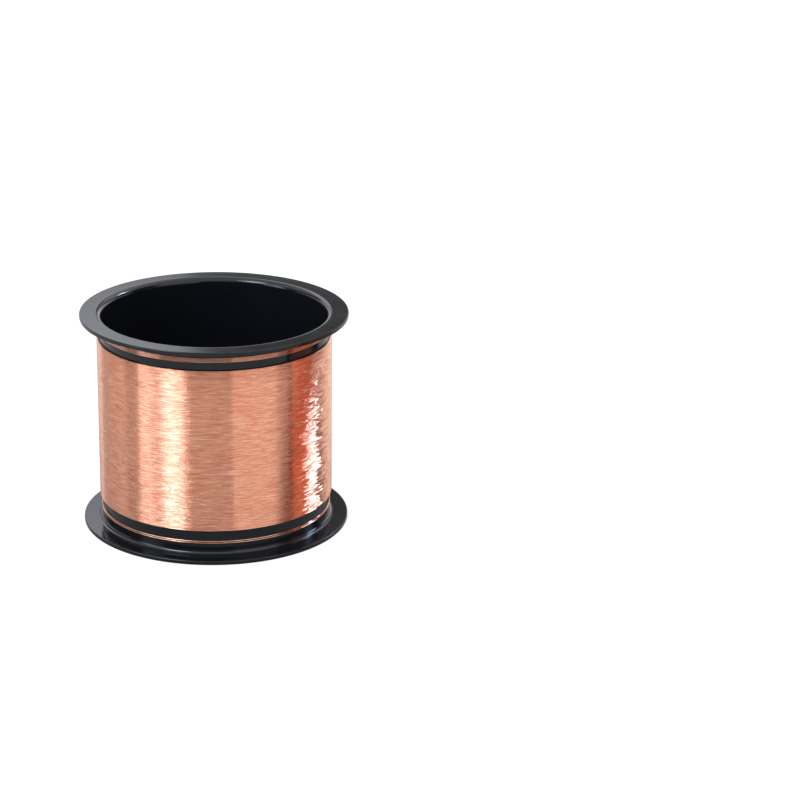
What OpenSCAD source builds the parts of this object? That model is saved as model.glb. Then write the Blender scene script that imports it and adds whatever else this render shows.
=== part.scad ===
// Two-flange spool for fine copper wire, standing on its lower flange.
// The shell is one thin-walled turned piece with a wide through bore.
// The wire is one strand: start turns, a crossover, the winding,
// a second crossover and finish turns, with each end under a film tab.

/* [Spool shell] */
// Diameter of both flanges
flange_d = 58.4; // [56:0.2:66]
// Overall width of the spool, from face to face
spool_w = 47.6; // [44:0.2:60]
// Thickness of each flange
flange_t = 0.9; // [0.7:0.05:1.4]
// Diameter of the through bore
bore_d = 48.8; // [44:0.2:50]
// Thickness of the barrel wall
barrel_wall = 0.7; // [0.5:0.05:1]
// Rounding of the bore's mouth at each face
mouth_round = 1.3; // [0.3:0.05:1.4]
// Fillet between the barrel and the inner face of each flange
root_fillet = 0.9; // [0.4:0.05:1.2]
// Rounding of both edges of each flange rim
rim_round = 0.2; // [0.1:0.05:0.35]

/* [Winding] */
// Thickness of the inner layers of wire under the outer one
layers_t = 0.12; // [0.1:0.02:0.6]
// Thickness of the strand, and of each loop of the outer layer
strand_d = 0.25; // [0.16:0.01:0.3]
// Loops of the outer layer, each one a lay of turns side by side
winding_turns = 21; // [14:1:21]
// Gap between one loop and the next
lay_gap = 0.45; // [0.42:0.01:0.8]
// Bare barrel between the start turns and the winding
start_gap = 2.3; // [2.2:0.1:4]
// Bare barrel between the winding and the finish turns
finish_gap = 1.6; // [1.3:0.1:4]

/* [Lead turns] */
// From the lower flange's inner face to the start turns
start_offset = 2.4; // [2.2:0.05:4]
// Width of the band of start turns
start_band_w = 0.6; // [0.4:0.05:2]
// From the upper flange's inner face to the finish turns
finish_offset = 1.5; // [1.35:0.05:4]
// Width of the band of finish turns
finish_band_w = 1.15; // [1.15:0.05:2]
// Arc of the barrel that a crossover takes, in degrees
crossover_arc = 45; // [30:5:60]

/* [Film tabs] */
// Thickness of the adhesive film
film_t = 0.08; // [0.05:0.01:0.15]
// Length of each tab along the turns
film_len = 4.6; // [3:0.2:8]
// Film that sticks to the bare barrel on each side of a band
film_grip = 1; // [0.4:0.1:1.2]

/* [Hidden] */
$fa = 2;
$fs = 0.1;

shell_black = "#17171a";
copper_deep = "#b5694a";
copper_light = "#d58a66";
film_amber = "#b9853a";

flange_r = flange_d / 2;
bore_r = bore_d / 2;
barrel_r = bore_r + barrel_wall;
upper_face = spool_w - flange_t;

// Heights of the three wound bands on the barrel
start_z0 = flange_t + start_offset;
start_z1 = start_z0 + start_band_w;
winding_z0 = start_z1 + start_gap;
finish_z1 = upper_face - finish_offset;
finish_z0 = finish_z1 - finish_band_w;
winding_z1 = finish_z0 - finish_gap;

// The strand has six sides and is widened where it stands for many turns
strand_sides = 6;
tip = strand_d / 2 * tan(180 / strand_sides);
wire_w = 4 * tip;
start_lay_w = start_band_w;
winding_lay_w = (winding_z1 - winding_z0 - winding_turns * lay_gap) / (winding_turns + 1);
finish_lay_w = (finish_band_w - lay_gap) / 2;
rings_per_turn = 24;
ring_step = 360 / rings_per_turn;
crossover_rings = 12;

// The straight runs between rings touch the layers below at their middles
layers_r = barrel_r + layers_t;
strand_r = (layers_r + strand_d / 2) / cos(ring_step / 2);
strand_top_r = strand_r + strand_d / 2;

// Places round the barrel, counted from +X towards +Y, the back
winding_start = 90;
winding_end = winding_start + 360 * winding_turns;

// The film clears the strand that it bridges
film_clearance = 0.02;
film_r = strand_top_r + film_clearance;
film_arc = film_len / barrel_r * 180 / PI;
// The film stops short of the fillet under the upper flange
film_margin = 0.05;
film_room = finish_offset - root_fillet - film_margin;

// A square corner with a round taken out, for rounding an edge
// The corner is at the origin and the material lies towards +X and +Y
module edge_cut(r) {
    difference() {
        translate([-r, -r])
            square(2 * r);
        translate([r, r])
            circle(r);
    }
}

// The annular space between the flanges, with its filleted roots
module channel_profile() {
    reach = flange_r - barrel_r + root_fillet;
    inner_w = upper_face - flange_t;
    translate([barrel_r + root_fillet, flange_t])
        square([reach, inner_w]);
    translate([barrel_r, flange_t + root_fillet])
        square([reach, inner_w - 2 * root_fillet]);
    for (z = [flange_t + root_fillet, upper_face - root_fillet])
        translate([barrel_r + root_fillet, z])
            circle(root_fillet);
}

// One half of the shell's section, drawn with X as the radius
module shell_profile() {
    difference() {
        translate([bore_r, 0])
            square([flange_r - bore_r, spool_w]);
        channel_profile();
        translate([bore_r, 0])
            edge_cut(mouth_round);
        translate([bore_r, spool_w])
            mirror([0, 1])
                edge_cut(mouth_round);
        for (z = [0, upper_face])
            translate([flange_r, z])
                mirror([1, 0])
                    edge_cut(rim_round);
        for (z = [flange_t, spool_w])
            translate([flange_r, z])
                mirror([1, 0])
                    mirror([0, 1])
                        edge_cut(rim_round);
    }
}

// A plain sleeve of packed turns on the barrel
module packed_turns(z0, z1) {
    translate([0, 0, z0])
        difference() {
            cylinder(r = layers_r, h = z1 - z0);
            translate([0, 0, -1])
                cylinder(r = barrel_r, h = z1 - z0 + 2);
        }
}

// A place on the strand is an angle, a height and a width
// An even climb, with 24 places to a turn
function climb(a0, a1, z0, z1, w) =
    let (steps = round((a1 - a0) / ring_step))
    [for (i = [0 : steps]) [a0 + (a1 - a0) * i / steps, z0 + (z1 - z0) * i / steps, w]];

// A crossover leaves one level and joins the next one gently
function cross(a0, z0, z1, w) = [
    for (i = [1 : crossover_rings])
        let (t = i / crossover_rings)
        [a0 + crossover_arc * t, z0 + (z1 - z0) * t * t * (3 - 2 * t), w]
];

// The six corners of the strand at one place, flat inside and outside
function ring(place) =
    let (half = place[2] / 2)
    let (high = strand_d / 2)
    [
        for (corner = [
            [high, half - tip], [0, half], [-high, half - tip],
            [-high, tip - half], [0, -half], [high, tip - half],
        ])
            let (r = strand_r + corner[0])
            [r * cos(place[0]), r * sin(place[0]), place[1] + corner[1]]
    ];

// The least distance between two rings, corner to corner
function ring_gap(one, other) =
    min([for (p = ring(one)) for (q = ring(other)) norm(p - q)]);

// The least gap of a strand to itself, between places about a turn apart
function least_gap(path) = min([
    for (i = [0 : len(path) - 1])
        for (j = [i + 1 : len(path) - 1])
            if (abs(path[j][0] - path[i][0] - 360) <= ring_step)
                ring_gap(path[i], path[j])
]);

// One unbroken tube along a list of places
module strand(path) {
    last = len(path) - 1;
    start = last * strand_sides;
    polyhedron(
        points = [for (place = path) each ring(place)],
        faces = [
            for (k = [1 : strand_sides - 2]) [0, k + 1, k],
            for (k = [1 : strand_sides - 2]) [start, start + k, start + k + 1],
            for (i = [0 : last - 1])
                for (k = [0 : strand_sides - 1])
                    let (a = i * strand_sides + k)
                    let (b = i * strand_sides + (k + 1) % strand_sides)
                    each [[a, b + strand_sides, a + strand_sides], [a, b, b + strand_sides]]
        ]
    );
}

// Heights of the strand's centre at the ends of each band
start_mid = (start_z0 + start_z1) / 2;
winding_low = winding_z0 + winding_lay_w / 2;
winding_high = winding_z1 - winding_lay_w / 2;
finish_low = finish_z0 + finish_lay_w / 2;
finish_high = finish_z1 - finish_lay_w / 2;

// One loop from the taped end, then across to the winding
start_path = concat(
    [[winding_start - 360, start_mid, wire_w]],
    climb(winding_start - 360 + ring_step, winding_start - crossover_arc,
        start_mid, start_mid, start_lay_w),
    cross(winding_start - crossover_arc, start_mid, winding_low, wire_w)
);

// The winding's outer layer
winding_path = climb(winding_start, winding_end, winding_low, winding_high, winding_lay_w);

// Across from the winding, then two loops to the taped end
finish_path = concat(
    [[winding_end, winding_high, wire_w]],
    cross(winding_end, winding_high, finish_low, wire_w),
    climb(winding_end + crossover_arc + ring_step, winding_end + 360,
        finish_low, finish_low, finish_lay_w),
    cross(winding_end + 360, finish_low, finish_high, finish_lay_w),
    climb(winding_end + 360 + crossover_arc + ring_step, winding_end + 720,
        finish_high, finish_high, finish_lay_w)
);

// Adhesive film that holds a strand's end down on the barrel
module film(angle, band_z0, band_z1, grip_low, grip_high) {
    foot_r = barrel_r + film_t;
    rotate([0, 0, angle - film_arc / 2])
        rotate_extrude(angle = film_arc)
            polygon([
                [barrel_r, band_z0 - grip_low],
                [foot_r, band_z0 - grip_low],
                [foot_r, band_z0 - film_t - film_clearance],
                [film_r + film_t, band_z0],
                [film_r + film_t, band_z1],
                [foot_r, band_z1 + film_t + film_clearance],
                [foot_r, band_z1 + grip_high],
                [barrel_r, band_z1 + grip_high],
                [barrel_r, band_z1 + film_clearance],
                [film_r, band_z1],
                [film_r, band_z0],
                [barrel_r, band_z0 - film_clearance],
            ]);
}

// The shell: barrel and both flanges in one turned and anodised piece
module spool_shell() {
    color(shell_black)
        rotate_extrude()
            shell_profile();
}

// Inner layers of the winding
module winding_core() {
    color(copper_deep)
        packed_turns(winding_z0, winding_z1);
}

// Outer layer of the winding, one unbroken strand
module outer_turns() {
    echo(winding_least_gap_mm = least_gap(winding_path));
    color(copper_light)
        strand(winding_path);
}

// Packed turns of the start band
module start_band() {
    color(copper_deep)
        packed_turns(start_z0, start_z1);
}

// The strand from its taped start to the winding
module start_turns() {
    echo(start_least_gap_mm = least_gap(start_path));
    color(copper_light)
        strand(start_path);
}

// Packed turns of the finish band
module finish_band() {
    color(copper_deep)
        packed_turns(finish_z0, finish_z1);
}

// The strand from the winding to its taped end
module finish_turns() {
    echo(finish_least_gap_mm = least_gap(finish_path));
    color(copper_light)
        strand(finish_path);
}

// Film over the start of the strand
module start_film() {
    color(film_amber)
        film(winding_start, start_z0, start_z1, film_grip, film_grip);
}

// Film over the end of the strand
module finish_film() {
    color(film_amber)
        film(winding_end, finish_z0, finish_z1, film_grip, film_room);
}

spool_shell();
winding_core();
outer_turns();
start_band();
start_turns();
finish_band();
finish_turns();
start_film();
finish_film();
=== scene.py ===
import math

import bmesh
import bpy
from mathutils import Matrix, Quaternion, Vector


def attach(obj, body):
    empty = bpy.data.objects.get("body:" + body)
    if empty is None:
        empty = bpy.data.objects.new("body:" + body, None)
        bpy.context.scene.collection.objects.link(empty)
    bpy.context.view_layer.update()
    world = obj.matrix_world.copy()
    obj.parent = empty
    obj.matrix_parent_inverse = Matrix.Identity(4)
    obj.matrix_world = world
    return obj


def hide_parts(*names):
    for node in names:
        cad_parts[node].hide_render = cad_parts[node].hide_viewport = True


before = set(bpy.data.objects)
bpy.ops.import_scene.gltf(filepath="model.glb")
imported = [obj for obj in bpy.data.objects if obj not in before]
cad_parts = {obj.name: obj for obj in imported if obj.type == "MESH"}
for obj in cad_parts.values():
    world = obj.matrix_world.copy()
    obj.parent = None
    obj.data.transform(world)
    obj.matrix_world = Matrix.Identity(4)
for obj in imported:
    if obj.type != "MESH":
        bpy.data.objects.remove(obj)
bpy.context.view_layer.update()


# Camera. A long lens stands in front of the spool and looks down on it by about twenty
# degrees. The spool is left of the middle, and the camera is turned a little on its side.
MM = 0.001
SPOOL_W = 47.6 * MM
CAMERA_DISTANCE = 559.28 * MM
CAMERA_HEIGHT_ANGLE = math.radians(19.869)
CAMERA_ROLL = math.radians(0.861)
AIM_RIGHT = 40.77 * MM
AIM_UP = 2.525 * MM
SENSOR_W = 36
LENS_LENGTH = 113.967

spool_middle = Vector((0, 0, SPOOL_W / 2))
towards_camera = Vector((0, -math.cos(CAMERA_HEIGHT_ANGLE), math.sin(CAMERA_HEIGHT_ANGLE)))
picture_right = Vector((1, 0, 0))
picture_up = towards_camera.cross(picture_right)
camera_place = spool_middle + CAMERA_DISTANCE * towards_camera
camera_aim = spool_middle + AIM_RIGHT * picture_right + AIM_UP * picture_up
camera_turn = (camera_aim - camera_place).to_track_quat("-Z", "Y")
camera_turn = camera_turn @ Quaternion((0, 0, 1), CAMERA_ROLL)
bpy.ops.object.camera_add(location=camera_place, rotation=camera_turn.to_euler())
camera = bpy.context.object
camera.name = "camera"
camera.data.sensor_width = SENSOR_W
camera.data.lens = LENS_LENGTH
bpy.context.scene.camera = camera
bpy.context.scene.view_settings.view_transform = "Standard"


# Spool: one thin-walled turned part, a barrel with a wide through bore and a narrow flange
# at each end. It is aluminium, turned from bar with rounded mouths, roots and rims, and
# dyed black under a hard gloss.
FLANGE_R = 29.2 * MM
FLANGE_T = 0.9 * MM
BORE_R = 24.4 * MM
BARREL_R = 25.1 * MM
MOUTH_ROUND = 1.3 * MM
ROOT_FILLET = 0.9 * MM
RIM_ROUND = 0.2 * MM
ROUND_STEPS = 8
RIM_STEPS = 6
TURNING_STEPS = 256
NEAR = 0.001 * MM

DEEP_BLACK = (0.0045, 0.005, 0.007, 1)
CLOUDED_BLACK = (0.007, 0.0075, 0.0105, 1)
LATHE_MARK = 0.12 * MM
LATHE_MARK_SLANT = 0.02
CLOUD = 5 * MM
SKIN_GRAIN = 0.09 * MM
SKIN_DEPTH = 0.004 * MM


def near(a, b):
    return abs(a - b) < NEAR


def begin(name):
    """Names the object just added, and moves its place and turn into its mesh."""
    piece = bpy.context.object
    piece.name = name
    piece.data.name = name
    bpy.ops.object.transform_apply(location=True, rotation=True, scale=True)
    return piece


def pick(kind, test):
    """In edit mode, selects the vertices or the edges whose middle passes the test."""
    bpy.ops.mesh.select_mode(type=kind)
    bpy.ops.mesh.select_all(action="DESELECT")
    mesh = bmesh.from_edit_mesh(bpy.context.object.data)
    for part in mesh.verts if kind == "VERT" else mesh.edges:
        corners = [part] if kind == "VERT" else part.verts
        if test(sum((corner.co for corner in corners), Vector()) / len(corners)):
            part.select_set(True)
    bmesh.update_edit_mesh(bpy.context.object.data)


def extrude(x=0, z=0):
    """In edit mode, draws what is selected out by that much."""
    bpy.ops.mesh.extrude_region_move(TRANSFORM_OT_translate={"value": (x, 0, z)})


def round_corners(radius, steps, *corners):
    """In edit mode, rounds the corners of a section that lies in the XZ plane."""
    pick("VERT", lambda p: any(abs(p.x - x) + abs(p.z - z) < NEAR for x, z in corners))
    bpy.ops.mesh.bevel(offset=radius, segments=steps, profile=0.5, affect="VERTICES")


def close_up():
    """In edit mode, joins what meets and points all faces outwards."""
    bpy.ops.mesh.select_all(action="SELECT")
    bpy.ops.mesh.remove_doubles(threshold=NEAR)
    bpy.ops.mesh.normals_make_consistent(inside=False)


def begin_section(name, inner_r, outer_r, low, high):
    """A rectangle in the XZ plane, left in edit mode, to be turned round the axis."""
    middle = ((inner_r + outer_r) / 2, 0, (low + high) / 2)
    bpy.ops.mesh.primitive_plane_add(size=1, location=middle, rotation=(math.pi / 2, 0, 0))
    piece = begin(name)
    bpy.ops.object.mode_set(mode="EDIT")
    bpy.ops.mesh.select_all(action="SELECT")
    bpy.ops.transform.resize(value=(outer_r - inner_r, 1, high - low), center_override=middle)
    return piece


def turn_section(piece):
    """Turns the section's outline round the axis, and keeps its large flat faces flat."""
    bpy.ops.mesh.select_mode(type="FACE")
    bpy.ops.mesh.select_all(action="SELECT")
    bpy.ops.mesh.delete(type="ONLY_FACE")
    bpy.ops.mesh.select_mode(type="EDGE")
    bpy.ops.mesh.select_all(action="SELECT")
    bpy.ops.mesh.spin(steps=TURNING_STEPS, angle=2 * math.pi, center=(0, 0, 0), axis=(0, 0, 1))
    close_up()
    bpy.ops.object.mode_set(mode="OBJECT")
    bpy.ops.object.shade_smooth()
    even = piece.modifiers.new("even shading", "WEIGHTED_NORMAL")
    bpy.ops.object.modifier_apply(modifier=even.name)


def divides_a_straight(p):
    """Whether a corner of the section only divides a flange's face or the bore's wall."""
    at_an_end = near(p.z, 0) or near(p.z, SPOOL_W)
    return near(p.x, BARREL_R) and at_an_end or near(p.x, BORE_R) and not at_an_end


bpy.ops.object.select_all(action="DESELECT")
spool = begin_section("spool", BORE_R, FLANGE_R, 0, FLANGE_T)
bpy.ops.mesh.bisect(plane_co=(BARREL_R, 0, 0), plane_no=(1, 0, 0))
pick("EDGE", lambda p: p.x < BARREL_R and near(p.z, FLANGE_T))
extrude(z=SPOOL_W - 2 * FLANGE_T)
extrude(z=FLANGE_T)
pick("EDGE", lambda p: near(p.x, BARREL_R) and p.z > SPOOL_W - FLANGE_T)
extrude(x=FLANGE_R - BARREL_R)
bpy.ops.mesh.select_mode(type="FACE")
bpy.ops.mesh.select_all(action="SELECT")
bpy.ops.mesh.dissolve_faces()
pick("VERT", divides_a_straight)
bpy.ops.mesh.dissolve_verts()
upper_root = SPOOL_W - FLANGE_T
round_corners(MOUTH_ROUND, ROUND_STEPS, (BORE_R, 0), (BORE_R, SPOOL_W))
round_corners(ROOT_FILLET, ROUND_STEPS, (BARREL_R, FLANGE_T), (BARREL_R, upper_root))
rim_heights = (0, FLANGE_T, upper_root, SPOOL_W)
round_corners(RIM_ROUND, RIM_STEPS, *[(FLANGE_R, height) for height in rim_heights])
turn_section(spool)


class Socket:
    """An output of a material's node. Arithmetic on it adds Math nodes."""

    def __init__(self, tree, output=None):
        self.tree = tree
        self.output = output

    def node(self, kind, settings={}, sockets={}, output=0):
        """Adds a node: its settings first, then a value or a link for each of its sockets."""
        added = self.tree.nodes.new("ShaderNode" + kind)
        for name, value in settings.items():
            setattr(added, name, value)
        for name, value in sockets.items():
            if isinstance(value, Socket):
                self.tree.links.new(value.output, added.inputs[name])
            else:
                added.inputs[name].default_value = value
        return Socket(self.tree, added.outputs[output])

    def maths(self, operation, *values):
        return self.node("Math", {"operation": operation}, dict(enumerate(values)))

    def vector_maths(self, operation, *others, output="Vector"):
        values = dict(enumerate((self, *others)))
        return self.node("VectorMath", {"operation": operation}, values, output)

    def root(self):
        return self.maths("SQRT", self)

    def part(self, axis):
        """One of a vector's parts: X, Y or Z."""
        return self.node("SeparateXYZ", {}, {"Vector": self}, axis)

    def rise(self, low, high, ends="LINEAR"):
        """From 0 where this is low to 1 where it is high."""
        return self.node("MapRange", {"interpolation_type": ends}, {0: self, 1: low, 2: high})

    def __add__(self, other):
        return self.maths("ADD", self, other)

    def __sub__(self, other):
        return self.maths("SUBTRACT", self, other)

    def __mul__(self, other):
        return self.maths("MULTIPLY", self, other)

    def __rsub__(self, other):
        return self.maths("SUBTRACT", other, self)

    __radd__ = __add__
    __rmul__ = __mul__


class Finish:
    """A material: the plain values of its shader, and what varies over the surface."""

    def __init__(self, name, **plain):
        self.material = bpy.data.materials.new(name)
        self.material.use_nodes = True
        self.tree = self.material.node_tree
        self.shader = self.tree.nodes["Principled BSDF"]
        for socket, value in plain.items():
            self.shader.inputs[socket.replace("_", " ")].default_value = value
        self.place = Socket(self.tree).node("TexCoord", output="Object")

    def vector(self, x=0.0, y=0.0, z=0.0):
        """A vector made of three values or links."""
        return self.place.node("CombineXYZ", {}, {"X": x, "Y": y, "Z": z})

    def grain(self, x, y, z, detail=2.0, moved=None):
        """Noise from 0 to 1 with features of those sizes along the three axes."""
        stretch = self.place.node(
            "Mapping", {}, {"Vector": moved or self.place, "Scale": (1 / x, 1 / y, 1 / z)}
        )
        return self.place.node(
            "TexNoise", {}, {"Vector": stretch, "Scale": 1.0, "Detail": detail}
        )

    def blend(self, share, first, second):
        """A colour between two, by a share from 0 to 1."""
        mixed = {"Factor": share, 6: first, 7: second}
        return self.place.node("Mix", {"data_type": "RGBA"}, mixed, output=2)

    def bump(self, strength, distance, height):
        relief = {"Strength": strength, "Distance": distance, "Height": height}
        return self.place.node("Bump", {}, relief)

    def feed(self, **varying):
        for socket, value in varying.items():
            self.tree.links.new(value.output, self.shader.inputs[socket.replace("_", " ")])


anodised = Finish("black_anodised", Metallic=0.0, IOR=1.43, Specular_IOR_Level=0.5)
across = anodised.place.part("X")
depth = anodised.place.part("Y")
from_axis = (across * across + depth * depth).root()
lathe_place = anodised.vector(from_axis, anodised.place.part("Z"), across * LATHE_MARK_SLANT)
lathe_marks = anodised.grain(LATHE_MARK, LATHE_MARK, LATHE_MARK, detail=1.0, moved=lathe_place)
cloudy = anodised.grain(CLOUD, CLOUD, CLOUD)
skin = anodised.grain(SKIN_GRAIN, SKIN_GRAIN, SKIN_GRAIN)
anodised.feed(
    Base_Color=anodised.blend(cloudy, DEEP_BLACK, CLOUDED_BLACK),
    Roughness=0.1 + 0.05 * cloudy + 0.03 * lathe_marks,
    Normal=anodised.bump(0.12, SKIN_DEPTH, lathe_marks + 0.5 * skin),
)
spool.data.materials.append(anodised.material)
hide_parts("spool_shell")
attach(spool, "root")


# Inner layers: the first lengths of copper wire wound on the barrel, turn beside turn, and
# pressed level by the layer above. They show only as a line of copper between its turns.
WIRE_D = 0.19 * MM
WINDING_LOW = 6.2 * MM
WINDING_HIGH = 42.45 * MM
INNER_R = 25.49 * MM
INNER_SHORT = 0.12 * MM
INNER_ROUND = 0.12 * MM
INNER_ROUND_STEPS = 4

RED_COPPER = (0.82, 0.325, 0.2, 1)
BRIGHT_COPPER = (1.0, 0.63, 0.45, 1)
HAIRLINE_W = 0.13 * MM
HAIRLINE_RANGE = (0.35, 0.65)
WIRE_WANDER = 0.25 * MM
LOOSE_FROM = 15.5 * MM
LOOSE_TO = 19 * MM
SINGLE_LEAN = 0.06
SHARED_LEAN = 0.02
LOOSE_LEAN = 0.5
LOOSE_SHARED_LEAN = 0.15

inner_low = WINDING_LOW + INNER_SHORT
inner_high = WINDING_HIGH - INNER_SHORT
inner_layers = begin_section("inner_layers", BARREL_R, INNER_R, inner_low, inner_high)
round_corners(INNER_ROUND, INNER_ROUND_STEPS, (INNER_R, inner_low), (INNER_R, inner_high))
turn_section(inner_layers)

# The wires' colour comes in hair-wide lines and in bands of turns that wander a little. Each
# wire also leans, so it mirrors the room from a little to one side: by itself, together with
# its neighbours, and most on the spool's right, where the turns lie looser.
copper = Finish("copper_wire", Metallic=1.0)
drift = copper.grain(6 * MM, 6 * MM, 1.5 * MM)
drifting = copper.place.vector_maths("ADD", copper.vector(z=WIRE_WANDER * drift))
hairlines = copper.grain(2.4 * MM, 2.4 * MM, HAIRLINE_W, moved=drifting).rise(*HAIRLINE_RANGE)
bands = copper.grain(14 * MM, 14 * MM, 0.7 * MM, moved=drifting)
single = copper.grain(12 * MM, 12 * MM, HAIRLINE_W)
together = copper.grain(6 * MM, 6 * MM, 1.0 * MM)
uneven = copper.grain(5 * MM, 5 * MM, 1.1 * MM, moved=drifting)
combed = copper.grain(4 * MM, 4 * MM, 0.3 * MM, detail=1.0, moved=drifting)
wire_x = copper.place.part("X")
wire_y = copper.place.part("Y")
loose = wire_x.rise(LOOSE_FROM, LOOSE_TO)
loose_lean = LOOSE_LEAN * (combed - 0.5) + LOOSE_SHARED_LEAN * (uneven - 0.5)
lean = SINGLE_LEAN * (single - 0.5) + SHARED_LEAN * (together - 0.5) + loose * loose_lean
along_wire = copper.vector(lean * wire_y * (-1 / INNER_R), lean * wire_x * (1 / INNER_R))
outward = copper.place.node("NewGeometry", output="Normal")
leaning = outward.vector_maths("ADD", along_wire)
copper.feed(
    Base_Color=copper.blend(0.75 * hairlines + 0.25 * bands, RED_COPPER, BRIGHT_COPPER),
    Roughness=0.08 + 0.05 * hairlines,
    Normal=leaning.vector_maths("NORMALIZE"),
)
inner_layers.data.materials.append(copper.material)
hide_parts("winding_core")
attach(inner_layers, "root")


# Start turns: the wire begins at the back, under a film tab, goes twice round the bare
# barrel near the lower flange, and then crosses up to where the winding starts.
START_BAND_MIDDLE = 3.6 * MM
START_LOOPS = 2
START_PITCH = 0.38 * MM
OUTER_SUNK = 0.06 * MM
CROSSING_ARC = 45
BACK = 90
POINT_STEP = 3
WIRE_ROUNDNESS = 2
SMOOTH_UP_TO = math.radians(60)

wire_r = WIRE_D / 2
lead_r = BARREL_R + wire_r
winding_r = INNER_R - OUTER_SUNK + wire_r


def ease(share):
    """From 0 to 1 with a level start and a level end."""
    return share * share * (3 - 2 * share)


def lay_wire(name, route):
    """A round wire along a route of (degrees round the barrel, height, radius)."""
    bpy.ops.curve.primitive_nurbs_path_add()
    piece = begin(name)
    bpy.ops.object.mode_set(mode="EDIT")
    bpy.ops.curve.select_all(action="SELECT")
    bpy.ops.curve.delete(type="VERT")
    bpy.ops.object.mode_set(mode="OBJECT")
    line = piece.data.splines.new("POLY")
    line.points.add(len(route) - 1)
    for point, (angle, height, radius) in zip(line.points, route):
        turn = math.radians(angle)
        point.co = (radius * math.cos(turn), radius * math.sin(turn), height, 1)
    piece.data.dimensions = "3D"
    piece.data.twist_mode = "Z_UP"
    piece.data.bevel_depth = wire_r
    piece.data.bevel_resolution = WIRE_ROUNDNESS
    piece.data.use_fill_caps = True
    bpy.ops.object.convert(target="MESH")
    piece = bpy.context.object
    bpy.ops.object.mode_set(mode="EDIT")
    close_up()
    bpy.ops.object.mode_set(mode="OBJECT")
    bpy.ops.object.shade_smooth_by_angle(angle=SMOOTH_UP_TO)
    piece.data.materials.append(copper.material)
    return piece


def turns(first_angle, last_angle, first_height, radius, pitch):
    """Turns side by side round the barrel, from one angle to another."""
    steps = round((last_angle - first_angle) / POINT_STEP)
    return [
        (first_angle + POINT_STEP * i, first_height + pitch * POINT_STEP * i / 360, radius)
        for i in range(steps + 1)
    ]


def crossing(first_angle, first, last):
    """One crossing between two bands, from one height and radius to another."""
    steps = CROSSING_ARC // POINT_STEP
    return [
        (
            first_angle + POINT_STEP * i,
            first[0] + (last[0] - first[0]) * ease(i / steps),
            first[1] + (last[1] - first[1]) * ease(i / steps) ** 3,
        )
        for i in range(1, steps + 1)
    ]


start_rise = START_PITCH * (360 * START_LOOPS - CROSSING_ARC) / 360
start_low = START_BAND_MIDDLE - start_rise / 2
start_high = start_low + start_rise
start_angle = BACK - 360 * START_LOOPS
start_route = turns(start_angle, BACK - CROSSING_ARC, start_low, lead_r, START_PITCH)
start_route += crossing(
    BACK - CROSSING_ARC, (start_high, lead_r), (WINDING_LOW + wire_r, winding_r)
)
start_lead = lay_wire("start_lead", start_route)
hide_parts("start_turns", "start_band")
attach(start_lead, "root")


# Outer layer: one unbroken length of bare copper wire, laid turn against turn over the
# inner layers by a traversing guide. Its turns wander and stand proud by hair widths.
WINDING_LOOPS = 180
STEPS_A_TURN = 90
WIRE_SIDES = 6
SIDEWAYS_WANDER = 0.07 * MM
OUTWARD_WANDER = 0.035 * MM

winding_pitch = (WINDING_HIGH - WINDING_LOW - WIRE_D) / WINDING_LOOPS
bpy.ops.mesh.primitive_circle_add(
    vertices=WIRE_SIDES,
    radius=wire_r,
    location=(0, winding_r, WINDING_LOW + wire_r),
    rotation=(0, math.pi / 2, 0),
)
winding = begin("winding")
laid = winding.modifiers.new("laid turns", "SCREW")
laid.axis = "Z"
laid.angle = 2 * math.pi
laid.iterations = WINDING_LOOPS
laid.steps = STEPS_A_TURN
laid.render_steps = STEPS_A_TURN
laid.screw_offset = winding_pitch
laid.use_normal_calculate = True
bpy.ops.object.modifier_apply(modifier=laid.name)


def wander(piece, size, strength, direction):
    """Shifts a piece's points by soft noise with features of that size along x, y, z."""
    bpy.ops.object.empty_add()
    measure = bpy.context.object
    measure.scale = size
    bpy.context.view_layer.update()
    noise = bpy.data.textures.new("wander", "CLOUDS")
    noise.noise_scale = 1
    noise.noise_depth = 1
    shift = piece.modifiers.new("wander", "DISPLACE")
    shift.texture = noise
    shift.texture_coords = "OBJECT"
    shift.texture_coords_object = measure
    shift.direction = direction
    shift.strength = strength
    shift.mid_level = 0.5
    bpy.context.view_layer.objects.active = piece
    bpy.ops.object.modifier_apply(modifier=shift.name)
    bpy.data.objects.remove(measure)


wander(winding, (6 * MM, 6 * MM, 0.8 * MM), SIDEWAYS_WANDER, "Z")
wander(winding, (6 * MM, 6 * MM, 0.25 * MM), OUTWARD_WANDER, "NORMAL")
bpy.ops.object.select_all(action="DESELECT")
winding.select_set(True)
bpy.context.view_layer.objects.active = winding
bpy.ops.object.mode_set(mode="EDIT")
bpy.ops.mesh.select_mode(type="EDGE")
bpy.ops.mesh.select_all(action="DESELECT")
bpy.ops.mesh.select_non_manifold()
bpy.ops.mesh.fill_holes(sides=WIRE_SIDES)
close_up()
bpy.ops.object.mode_set(mode="OBJECT")
bpy.ops.object.shade_smooth()
winding.data.materials.append(copper.material)
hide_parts("outer_turns")
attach(winding, "root")


# Finish turns: from the top of the winding the wire crosses up over bare barrel, goes five
# times round near the upper flange, and ends at the back under a second film tab.
FINISH_BAND_MIDDLE = 44.625 * MM
FINISH_LOOPS = 5
FINISH_PITCH = 0.21 * MM

finish_rise = FINISH_PITCH * (360 * FINISH_LOOPS - CROSSING_ARC) / 360
finish_low = FINISH_BAND_MIDDLE - finish_rise / 2
finish_high = finish_low + finish_rise
finish_angle = BACK + 360 * FINISH_LOOPS
winding_end = (WINDING_HIGH - wire_r, winding_r)
finish_route = [(BACK, *winding_end)]
finish_route += crossing(BACK, winding_end, (finish_low, lead_r))
finish_route += turns(BACK + CROSSING_ARC, finish_angle, finish_low, lead_r, FINISH_PITCH)[1:]
finish_lead = lay_wire("finish_lead", finish_route)
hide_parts("finish_turns", "finish_band")
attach(finish_lead, "root")


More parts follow.
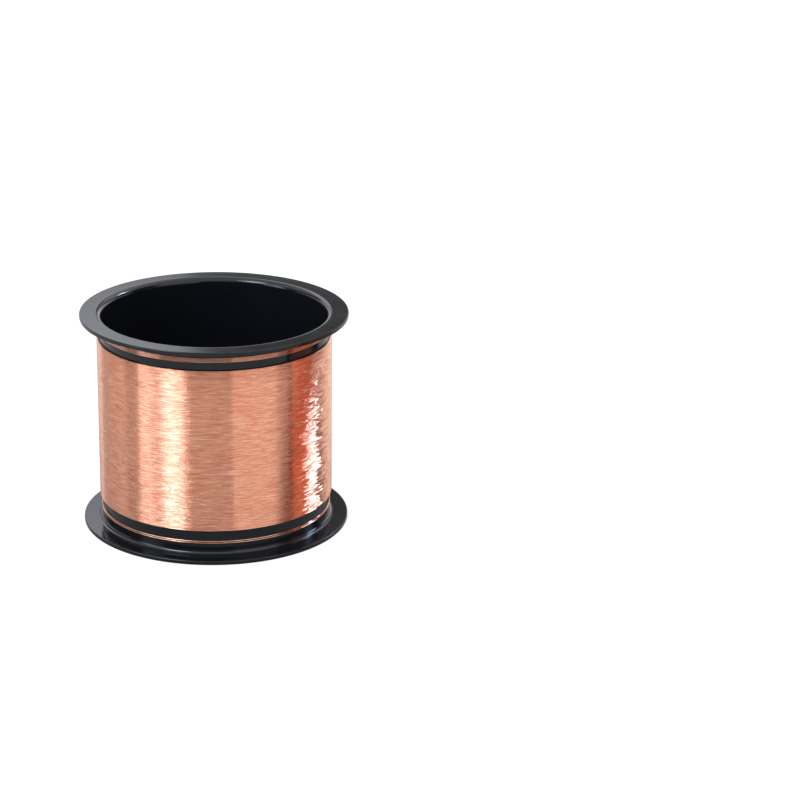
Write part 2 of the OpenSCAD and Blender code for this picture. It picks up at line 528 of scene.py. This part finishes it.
# Film tabs: two short pieces of thin amber adhesive film, pressed over the lead turns and
# stuck to the bare barrel on both sides of them, so that the wire's ends can't spring off.
FILM_T = 0.06 * MM
FILM_GAP = 0.01 * MM
FILM_ARC = 10.5
FILM_GRIP = 0.8 * MM
FILM_LIFT = 0.3 * MM
FILM_STEPS = 14
FILM_EDGE_ROUND = 0.02 * MM
FILM_EDGE_STEPS = 2
FILM_SMOOTH_UP_TO = math.radians(40)

DARK_AMBER = (0.34, 0.12, 0.018, 1)
LIGHT_AMBER = (0.46, 0.19, 0.035, 1)
FILM_CLOUD = 1.6 * MM
CREASE_DEPTH = 0.02 * MM

film = Finish("amber_film", Metallic=0.0, IOR=1.6, Coat_Weight=0.6, Coat_Roughness=0.08)
film_clouds = film.grain(FILM_CLOUD, FILM_CLOUD, FILM_CLOUD)
film_creases = film.grain(0.9 * MM, 0.9 * MM, 0.25 * MM)
film.feed(
    Base_Color=film.blend(film_clouds, DARK_AMBER, LIGHT_AMBER),
    Roughness=0.22 + 0.15 * film_clouds,
    Normal=film.bump(0.3, CREASE_DEPTH, film_creases),
)


def press_film(name, low, high):
    """A film tab at the back, over wires that lie between two heights."""
    on_barrel = BARREL_R + FILM_T / 2 + FILM_GAP
    on_wire = on_barrel + WIRE_D
    section = [
        (on_barrel, low - FILM_GRIP),
        (on_barrel, low - FILM_LIFT),
        (on_wire, low),
        (on_wire, high),
        (on_barrel, high + FILM_LIFT),
        (on_barrel, high + FILM_GRIP),
    ]
    first_edge = math.radians(BACK - FILM_ARC / 2)
    bpy.ops.mesh.primitive_plane_add(
        size=1, location=(section[0][0], 0, section[0][1]), rotation=(math.pi / 2, 0, 0)
    )
    piece = begin(name)
    bpy.ops.object.mode_set(mode="EDIT")
    bpy.ops.mesh.select_mode(type="VERT")
    bpy.ops.mesh.select_all(action="SELECT")
    bpy.ops.mesh.merge(type="CENTER")
    for before, after in zip(section, section[1:]):
        extrude(x=after[0] - before[0], z=after[1] - before[1])
    bpy.ops.mesh.select_all(action="SELECT")
    bpy.ops.transform.rotate(value=-first_edge, orient_axis="Z", center_override=(0, 0, 0))
    bpy.ops.mesh.spin(
        steps=FILM_STEPS, angle=-math.radians(FILM_ARC), center=(0, 0, 0), axis=(0, 0, 1)
    )
    close_up()
    bpy.ops.object.mode_set(mode="OBJECT")
    wall = piece.modifiers.new("film", "SOLIDIFY")
    wall.thickness = FILM_T
    wall.offset = 0
    bpy.ops.object.modifier_apply(modifier=wall.name)
    soft = piece.modifiers.new("soft edges", "BEVEL")
    soft.width = FILM_EDGE_ROUND
    soft.segments = FILM_EDGE_STEPS
    bpy.ops.object.modifier_apply(modifier=soft.name)
    bpy.ops.object.shade_smooth_by_angle(angle=FILM_SMOOTH_UP_TO)
    piece.data.materials.append(film.material)
    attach(piece, "root")
    return piece


start_tab = press_film("start_tab", start_low - wire_r, start_high + wire_r)
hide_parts("start_film")
finish_tab = press_film("finish_tab", finish_low - wire_r, finish_high + wire_r)
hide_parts("finish_film")


# Floor: a plain white table top, just under the spool's foot. In the spool's gloss it glows
# with a painted shadow, nearly black round the foot and grey farther out.
FLOOR_R = 3.0
FLOOR_SIDES = 96
FLOOR_DROP = 0.02 * MM
FLOOR_GREY = (0.35, 0.35, 0.35, 1)
FLOOR_WHITE = 0.72
# Painted shadow in the floor's glow as gloss sees it: its level at the foot, its rise farther
# out, and where it fades.
PAINTED_SHADOW_GLOW = 0.02
UNSHADED_GLOW_RISE = 0.25
PAINTED_SHADOW_R = 50 * MM
PAINTED_SHADOW_END_R = 120 * MM

bpy.ops.object.select_all(action="DESELECT")
bpy.ops.mesh.primitive_circle_add(
    vertices=FLOOR_SIDES, radius=FLOOR_R, fill_type="NGON", location=(0, 0, -FLOOR_DROP)
)
floor = begin("floor")
table_top = Finish(
    "table_top",
    Base_Color=FLOOR_GREY,
    Roughness=1.0,
    Specular_IOR_Level=0,
    Emission_Strength=1,
)
seen = table_top.place.node("LightPath", output="Is Camera Ray")
mirrored = table_top.place.node("LightPath", output="Is Glossy Ray")
seen_through = table_top.place.node("LightPath", output="Is Transmission Ray")
# Painted shadow: the glow that gloss sees is nearly black round the foot and rises to grey
# farther out.
from_spool = table_top.place.vector_maths("LENGTH", output="Value")
painted_shadow_fade = from_spool.rise(PAINTED_SHADOW_R, PAINTED_SHADOW_END_R, "SMOOTHSTEP")
gloss_glow_with_painted_shadow = PAINTED_SHADOW_GLOW + UNSHADED_GLOW_RISE * painted_shadow_fade
table_top.feed(Emission_Color=FLOOR_WHITE * seen + gloss_glow_with_painted_shadow * (mirrored + seen_through))
floor.data.materials.append(table_top.material)


# Room: plain, pale and evenly lit. Gloss shows only its bright ceiling and, behind the
# spool, the lower part of a pale backdrop. All else is dark in it.
CEILING_LIGHT = 1.35
CEILING_EDGE = (0.33, 0.6)
BACKDROP_LIGHT = 0.95
BACKDROP_TOP = (0.216, 0.309)
BACKDROP_SIDE = (0.0, 0.12)
WALL_LIGHT = 0.01
ROOM_LIGHT = 0.85

world = bpy.data.worlds.new("studio")
bpy.context.scene.world = world
world.use_nodes = True
sky = world.node_tree
camera_ray = Socket(sky).node("LightPath", output="Is Camera Ray")
glossy_ray = Socket(sky).node("LightPath", output="Is Glossy Ray")
direction = Socket(sky).node("TexCoord", output="Generated")
up = direction.part("Z")
ceiling = up.rise(*CEILING_EDGE, "SMOOTHSTEP")
behind = direction.part("Y").rise(*BACKDROP_SIDE, "SMOOTHSTEP")
backdrop = (1 - up.rise(*BACKDROP_TOP, "SMOOTHSTEP")) * behind
shown = WALL_LIGHT + CEILING_LIGHT * ceiling + BACKDROP_LIGHT * backdrop
level = camera_ray + (1 - camera_ray) * (shown * glossy_ray + ROOM_LIGHT * (1 - glossy_ray))
sky.links.new(level.output, sky.nodes["Background"].inputs["Strength"])
sky.nodes["Background"].inputs["Color"].default_value = (1, 1, 1, 1)


# Lamps and large white cards, about a metre from the spool: a lamp with a brighter core
# high on the left, lit cards on the left, the right and at the back, and a small lamp high
# behind on the right, which puts a glint in the bore's mouth.
WHITE = (1, 1, 1)
COOL = (0.86, 1.0, 1.16)
PALE_COOL = (0.94, 0.97, 1.06)
RIM_BLUE = (0.75, 1.0, 1.3)


def towards(azimuth, elevation=0):
    """A direction from the spool. Azimuth 0 is in front of it, and 90 on its right."""
    turn = math.radians(azimuth)
    climb = math.radians(elevation)
    return Vector(
        (math.sin(turn) * math.cos(climb), -math.cos(turn) * math.cos(climb), math.sin(climb))
    )


def on_boom(azimuth, elevation, distance):
    """A place at that elevation, seen from the spool's middle."""
    return spool_middle + distance * towards(azimuth, elevation)


def on_stand(azimuth, distance, height):
    """A place at that height above the table."""
    return distance * towards(azimuth) + Vector((0, 0, height))


def softbox(name, place, size, brightness, colour=WHITE, upright=False, aim=spool_middle):
    """A flat lamp that faces its aim, upright or tilted to it."""
    facing = place - aim
    if upright:
        facing.z = 0
    turn = facing.to_track_quat("Z", "Y")
    bpy.ops.object.light_add(type="AREA", location=place, rotation=turn.to_euler())
    lamp = bpy.context.object
    lamp.name = name
    lamp.data.shape = "RECTANGLE"
    lamp.data.size, lamp.data.size_y = size
    lamp.data.energy = brightness * math.pi * size[0] * size[1]
    lamp.data.color = colour
    lamp.visible_camera = False
    return lamp


softbox("left_lamp", on_boom(-49, 45, 1.2), (0.45, 0.42), 8.4, COOL)
softbox("left_lamp_core", on_boom(-50, 45, 1.2), (0.25, 0.42), 3.8, COOL)
softbox("left_card", on_stand(-66.5, 1.0, 0.41), (0.443, 0.61), 2.1, COOL, upright=True)
softbox("left_card_core", on_stand(-71, 1.0, 0.41), (0.24, 0.61), 1.3, COOL, upright=True)
softbox("right_card", on_stand(39, 1.0, 0.37), (0.849, 0.67), 1.0, upright=True)
back_left = softbox(
    "back_left_card", Vector((-0.286, 0.8, 0.4925)), (0.548, 0.415), 1.4, PALE_COOL
)
back_left.rotation_euler = (-math.pi / 2, 0, 0)
softbox("back_right_card", on_stand(148, 0.7, 0.25), (0.62, 0.50), 0.5, upright=True)
softbox("rim_lamp", on_boom(126, 37, 1.0), (0.15, 0.06), 52.0, RIM_BLUE)


# Strip lamps: two narrow upright lamps, close on the spool's right, with grids that keep
# their light narrow. They put the bright streak on the right of the winding.
STRIP_BLUE = (0.66, 1.08, 1.55)
STRIP_BRIGHTNESS = 0.85
STRIP_GRID = math.radians(64)
STRIP_X = 51 * MM
STREAK = (20.7 * MM, -15 * MM)

for name, y, top, width in (
    ("strip_lamp", -2.4 * MM, 30 * MM, 3 * MM),
    ("strip_lamp_foot", -7.2 * MM, 20 * MM, 4 * MM),
):
    place = Vector((STRIP_X, y, top / 2))
    streak = Vector((*STREAK, top / 2))
    strip = softbox(name, place, (width, top), STRIP_BRIGHTNESS, STRIP_BLUE, aim=streak)
    strip.data.spread = STRIP_GRID


# Gloss cards: a glowing copper-coloured card between two dimly glowing black ones, close on
# the spool's right and folded to stand on the table. Their glow is a painted reflection of a
# lit copper spool with dark flanges. A black flag with a slanted edge hangs above them. The
# gloss of the spool shows them, and the camera doesn't.
CARD_X = 55 * MM
CARD_FOOT = 21 * MM
CARD_TOP = 62 * MM
LOW_CARD_TOP = 35 * MM
FRONT_EDGE = -31 * MM
COPPER_FRONT_EDGE = -26.5 * MM
COPPER_BACK_EDGE = 0
BACK_EDGE = 12 * MM
# Glow colours of the gloss cards: a painted reflection of a lit copper spool between its dark
# flanges.
BLACK_CARD_GLOW = (0.02, 0.02, 0.02)
COPPER_REFLECTION_GLOW = (0.66, 0.30, 0.22)
BROWN_REFLECTION_GLOW = (0.04, 0.03, 0.03)

FLAG_MIDDLE = (CARD_X, 11 * MM, 83 * MM)
FLAG_W = 44 * MM
FLAG_H = 56 * MM
FLAG_SLANT_PLACE = (CARD_X, 12 * MM, 67 * MM)
FLAG_SLANT_NORMAL = (0, 0.8, -0.6)


def begin_sheet(name, middle, width, height):
    """An upright sheet that faces the spool's side, left in edit mode."""
    bpy.ops.mesh.primitive_plane_add(size=1, location=middle, rotation=(0, math.pi / 2, 0))
    sheet = begin(name)
    bpy.ops.object.mode_set(mode="EDIT")
    bpy.ops.mesh.select_all(action="SELECT")
    bpy.ops.transform.resize(value=(1, width, height), center_override=middle)
    return sheet


def gloss_card(name, front, back, top, colour):
    """A card that only gloss shows, glowing with its colour, with a foot on the table."""
    middle = (CARD_X, (front + back) / 2, top / 2)
    card = begin_sheet(name, middle, back - front, top)
    pick("EDGE", lambda p: near(p.z, 0))
    extrude(x=-CARD_FOOT)
    bpy.ops.object.mode_set(mode="OBJECT")
    paint = Finish(
        name,
        Base_Color=(0, 0, 0, 1),
        Roughness=1.0,
        Specular_IOR_Level=0,
        Emission_Strength=1.0,
        Emission_Color=(*colour, 1),
    )
    card.data.materials.append(paint.material)
    card.visible_camera = False
    card.visible_diffuse = False
    card.visible_transmission = False
    card.visible_shadow = False


# Painted reflection: the copper card glows as a lit copper spool, and the black ones as its
# dark flanges.
gloss_card("near_black_card", FRONT_EDGE, COPPER_FRONT_EDGE, CARD_TOP, BLACK_CARD_GLOW)
gloss_card("copper_reflection_card", COPPER_FRONT_EDGE, COPPER_BACK_EDGE, CARD_TOP, COPPER_REFLECTION_GLOW)
gloss_card("far_black_card", COPPER_BACK_EDGE, BACK_EDGE, LOW_CARD_TOP, BROWN_REFLECTION_GLOW)

flag = begin_sheet("flag", FLAG_MIDDLE, FLAG_W, FLAG_H)
bpy.ops.mesh.bisect(plane_co=FLAG_SLANT_PLACE, plane_no=FLAG_SLANT_NORMAL, clear_outer=True)
bpy.ops.object.mode_set(mode="OBJECT")
cloth = Finish("flag", Base_Color=(0.01, 0.01, 0.01, 1), Roughness=1.0)
flag.data.materials.append(cloth.material)
flag.visible_camera = False
flag.visible_diffuse = False
